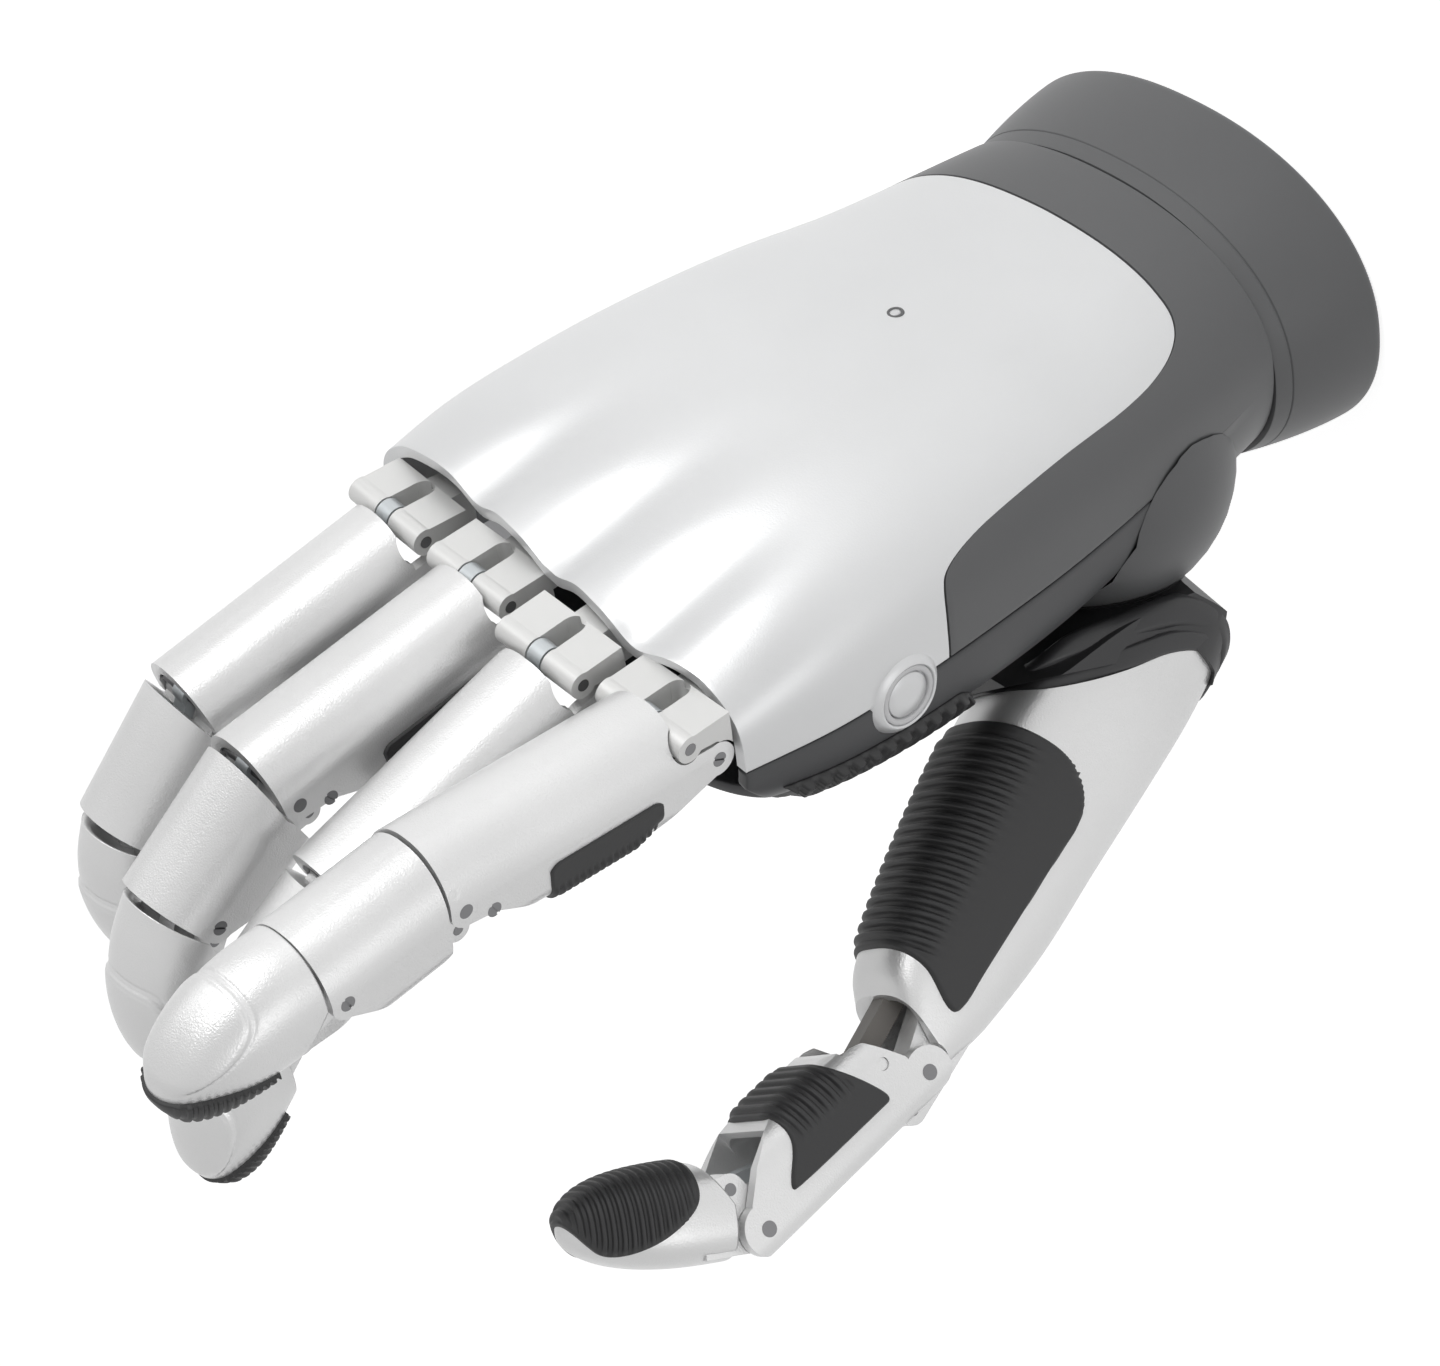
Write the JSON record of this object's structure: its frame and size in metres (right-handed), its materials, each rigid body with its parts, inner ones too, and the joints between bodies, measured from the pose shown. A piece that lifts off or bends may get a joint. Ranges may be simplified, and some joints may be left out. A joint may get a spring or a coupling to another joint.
{
  "type": "dexterous robot hand",
  "caption": "Right robot hand with linked fingers, an opposed swivelling thumb, ribbed rubber pads, a moulded palm casing and a bolted wrist.",
  "frame": {"origin": "centre of the flat wrist mounting face", "axes": "+Z along the forearm towards the finger tips, +X towards the little finger, +Y out of the palm"},
  "size_m": [0.1076, 0.0937, 0.2195],
  "materials": {
    "silver_shell": "silver satin lacquer",
    "grey_casing": "matt",
    "dark_casing": "matt",
    "black_bracket": "matt",
    "frame_alloy": "anodised",
    "pale_block": "bead blasted",
    "connector": "moulded",
    "board": "solder mask",
    "motor_can": "brushed",
    "lens": "clear",
    "bezel": "satin",
    "button_cap": "satin",
    "rubber_pad": "ribbed",
    "steel_pin": "blackened",
    "link_steel": "satin",
    "rod_brown": "moulded",
    "finger_alloy": "satin, fine grain"
  },
  "bodies": {
    "root": {"palm_frame": "frame_alloy", "dorsal_shell": "silver_shell", "palm_shell": "dark_casing", "rear_cowl": "grey_casing", "thumb_root_cover": "grey_casing", "wrist_cuff": "grey_casing", "wrist_flange": "frame_alloy", "wrist_connector": "connector", "knuckle_blocks": "pale_block", "knuckle_pins": "steel_pin", "palm_pad": "rubber_pad", "button_bezel": "bezel", "status_light": "lens", "finger_motors": "motor_can", "control_board": "board"},
    "index_base": {"index_proximal": "finger_alloy", "index_proximal_pad": "rubber_pad", "index_pins": "steel_pin"},
    "index_mid": {"index_middle": "finger_alloy"},
    "index_end": {"index_distal": "finger_alloy", "index_tip_pad": "rubber_pad"},
    "index_drive": {"index_drive_link": "link_steel"},
    "index_tiplink": {"index_tip_link": "link_steel"},
    "middle_base": {"middle_proximal": "finger_alloy", "middle_proximal_pad": "rubber_pad", "middle_pins": "steel_pin"},
    "middle_mid": {"middle_middle": "finger_alloy"},
    "middle_end": {"middle_distal": "finger_alloy", "middle_tip_pad": "rubber_pad"},
    "middle_drive": {"middle_drive_link": "link_steel"},
    "middle_tiplink": {"middle_tip_link": "link_steel"},
    "ring_base": {"ring_proximal": "finger_alloy", "ring_proximal_pad": "rubber_pad", "ring_pins": "steel_pin"},
    "ring_mid": {"ring_middle": "finger_alloy"},
    "ring_end": {"ring_distal": "finger_alloy", "ring_tip_pad": "rubber_pad"},
    "ring_drive": {"ring_drive_link": "link_steel"},
    "ring_tiplink": {"ring_tip_link": "link_steel"},
    "little_base": {"little_proximal": "finger_alloy", "little_proximal_pad": "rubber_pad", "little_pins": "steel_pin"},
    "little_mid": {"little_middle": "finger_alloy"},
    "little_end": {"little_distal": "finger_alloy", "little_tip_pad": "rubber_pad"},
    "little_drive": {"little_drive_link": "link_steel"},
    "little_tiplink": {"little_tip_link": "link_steel"},
    "button": {"power_button": "button_cap"},
    "thumb_base": {"thumb_swivel_bracket": "black_bracket", "thumb_metacarpal": "finger_alloy", "thumb_metacarpal_pad": "rubber_pad", "thumb_pins": "steel_pin"},
    "thumb_prox": {"thumb_proximal": "finger_alloy", "thumb_proximal_pad": "rubber_pad"},
    "thumb_end": {"thumb_distal": "finger_alloy", "thumb_tip_pad": "rubber_pad"},
    "thumb_rod": {"thumb_push_rod": "rod_brown"},
    "thumb_tiplink": {"thumb_tip_link": "link_steel"}
  },
  "joints": [
    {"name": "index_mcp", "type": "hinge", "parent": "root", "child": "index_base", "pos_m": [-0.0298, -0.0048, 0.1307], "axis": [-0.999, 0.0436, 0], "range_deg": [0, 60]},
    {"name": "index_pip", "type": "hinge", "parent": "index_base", "child": "index_mid", "pos_m": [-0.02991, -0.00738, 0.17412], "axis": [-0.999, 0.0436, 0], "range_deg": [-0.5, 72.5]},
    {"name": "index_dip", "type": "hinge", "parent": "index_mid", "child": "index_end", "pos_m": [-0.02981, -0.00508, 0.19399], "axis": [-0.999, 0.0436, 0], "range_deg": [-0.5, 58.1]},
    {"name": "index_drive_swing", "type": "hinge", "parent": "root", "child": "index_drive", "pos_m": [-0.03001, -0.00967, 0.13534], "axis": [-0.999, 0.0436, 0], "range_deg": [-0.5, 60.26]},
    {"name": "index_tip_link_swing", "type": "hinge", "parent": "index_base", "child": "index_tiplink", "pos_m": [-0.03006, -0.01074, 0.17513], "axis": [-0.999, 0.0436, 0], "range_deg": [-0.5, 74.96]},
    {"name": "middle_mcp", "type": "hinge", "parent": "root", "child": "middle_base", "pos_m": [-0.0106, -0.0064, 0.132], "axis": [-0.9989, 0.0262, 0.0384], "range_deg": [-14, 55]},
    {"name": "middle_pip", "type": "hinge", "parent": "middle_base", "child": "middle_mid", "pos_m": [-0.00865, 0.00812, 0.17296], "axis": [-0.9989, 0.0262, 0.0384], "range_deg": [-17.3, 66.5]},
    {"name": "middle_dip", "type": "hinge", "parent": "middle_mid", "child": "middle_end", "pos_m": [-0.00772, 0.01973, 0.18922], "axis": [-0.9989, 0.0262, 0.0384], "range_deg": [-13.94, 53.3]},
    {"name": "middle_drive_swing", "type": "hinge", "parent": "root", "child": "middle_drive", "pos_m": [-0.01053, -0.01094, 0.13696], "axis": [-0.9989, 0.0262, 0.0384], "range_deg": [-13.72, 52.42]},
    {"name": "middle_tip_link_swing", "type": "hinge", "parent": "middle_base", "child": "middle_tiplink", "pos_m": [-0.00863, 0.00541, 0.17519], "axis": [-0.9989, 0.0262, 0.0384], "range_deg": [-17.41, 66.94]},
    {"name": "ring_mcp", "type": "hinge", "parent": "root", "child": "ring_base", "pos_m": [0.0103, -0.0054, 0.1276], "axis": [-0.999, 0, 0.0454], "range_deg": [-6.5, 45]},
    {"name": "ring_pip", "type": "hinge", "parent": "ring_base", "child": "ring_mid", "pos_m": [0.01225, 0.00193, 0.17043], "axis": [-0.999, 0, 0.0454], "range_deg": [-8.3, 54.5]},
    {"name": "ring_dip", "type": "hinge", "parent": "ring_mid", "child": "ring_end", "pos_m": [0.01296, 0.01416, 0.18624], "axis": [-0.999, 0, 0.0454], "range_deg": [-6.74, 43.7]},
    {"name": "ring_drive_swing", "type": "hinge", "parent": "root", "child": "ring_drive", "pos_m": [0.01052, -0.01014, 0.13237], "axis": [-0.999, 0, 0.0454], "range_deg": [-6.71, 43.48]},
    {"name": "ring_tip_link_swing", "type": "hinge", "parent": "ring_base", "child": "ring_tiplink", "pos_m": [0.01232, -0.00112, 0.17217], "axis": [-0.999, 0, 0.0454], "range_deg": [-8.16, 53.51]},
    {"name": "little_mcp", "type": "hinge", "parent": "root", "child": "little_base", "pos_m": [0.0317, -0.004, 0.1255], "axis": [-0.9962, 0, 0.0872], "range_deg": [-13, 40]},
    {"name": "little_pip", "type": "hinge", "parent": "little_base", "child": "little_mid", "pos_m": [0.03514, 0.0051, 0.16477], "axis": [-0.9962, 0, 0.0872], "range_deg": [-16.1, 48.5]},
    {"name": "little_dip", "type": "hinge", "parent": "little_mid", "child": "little_end", "pos_m": [0.03626, 0.01848, 0.17764], "axis": [-0.9962, 0, 0.0872], "range_deg": [-12.98, 38.9]},
    {"name": "little_drive_swing", "type": "hinge", "parent": "root", "child": "little_drive", "pos_m": [0.03209, -0.009, 0.12998], "axis": [-0.9962, 0, 0.0872], "range_deg": [-12.64, 37.86]},
    {"name": "little_tip_link_swing", "type": "hinge", "parent": "little_base", "child": "little_tiplink", "pos_m": [0.0353, 0.00215, 0.16667], "axis": [-0.9962, 0, 0.0872], "range_deg": [-15.72, 47.34]},
    {"name": "thumb_swivel", "type": "hinge", "parent": "root", "child": "thumb_base", "pos_m": [-0.0235, 0.023, 0.046], "axis": [0.273, -0.9519, -0.1392], "range_deg": [-20, 60]},
    {"name": "thumb_mcp", "type": "hinge", "parent": "thumb_base", "child": "thumb_prox", "pos_m": [-0.0512, 0.0562, 0.117], "axis": [0.7986, 0.6018, 0], "range_deg": [-25, 35]},
    {"name": "thumb_ip", "type": "hinge", "parent": "thumb_prox", "child": "thumb_end", "pos_m": [-0.05401, 0.05992, 0.15017], "axis": [0.7986, 0.6018, 0], "range_deg": [-16.25, 22.55]},
    {"name": "thumb_push_rod_swing", "type": "hinge", "parent": "thumb_prox", "child": "thumb_rod", "pos_m": [-0.04828, 0.05233, 0.12273], "axis": [0.7986, 0.6018, 0], "range_deg": [-33.4, 24]},
    {"name": "thumb_tip_link_swing", "type": "hinge", "parent": "thumb_base", "child": "thumb_tiplink", "pos_m": [-0.05332, 0.05902, 0.12115], "axis": [0.7986, 0.6018, 0], "range_deg": [-28.75, 40.05]},
    {"name": "button_press", "type": "slide", "parent": "root", "child": "button", "axis": [1, 0, 0], "range_m": [0, 0.001], "stiffness_N_per_m": 1500}
  ],
  "couplings": [
    {"joint": "index_pip", "follows": "index_mcp", "ratio": 1.2},
    {"joint": "index_dip", "follows": "index_mcp", "ratio": 0.96},
    {"joint": "index_drive_swing", "follows": "index_mcp", "ratio": 0.996},
    {"joint": "index_tip_link_swing", "follows": "index_mcp", "ratio": 1.241},
    {"joint": "middle_pip", "follows": "middle_mcp", "ratio": 1.2},
    {"joint": "middle_dip", "follows": "middle_mcp", "ratio": 0.96},
    {"joint": "middle_drive_swing", "follows": "middle_mcp", "ratio": 0.944},
    {"joint": "middle_tip_link_swing", "follows": "middle_mcp", "ratio": 1.208},
    {"joint": "ring_pip", "follows": "ring_mcp", "ratio": 1.2},
    {"joint": "ring_dip", "follows": "ring_mcp", "ratio": 0.96},
    {"joint": "ring_drive_swing", "follows": "ring_mcp", "ratio": 0.955},
    {"joint": "ring_tip_link_swing", "follows": "ring_mcp", "ratio": 1.178},
    {"joint": "little_pip", "follows": "little_mcp", "ratio": 1.2},
    {"joint": "little_dip", "follows": "little_mcp", "ratio": 0.96},
    {"joint": "little_drive_swing", "follows": "little_mcp", "ratio": 0.934},
    {"joint": "little_tip_link_swing", "follows": "little_mcp", "ratio": 1.171},
    {"joint": "thumb_ip", "follows": "thumb_mcp", "ratio": 0.63},
    {"joint": "thumb_push_rod_swing", "follows": "thumb_mcp", "ratio": -0.94},
    {"joint": "thumb_tip_link_swing", "follows": "thumb_mcp", "ratio": 1.13}
  ]
}
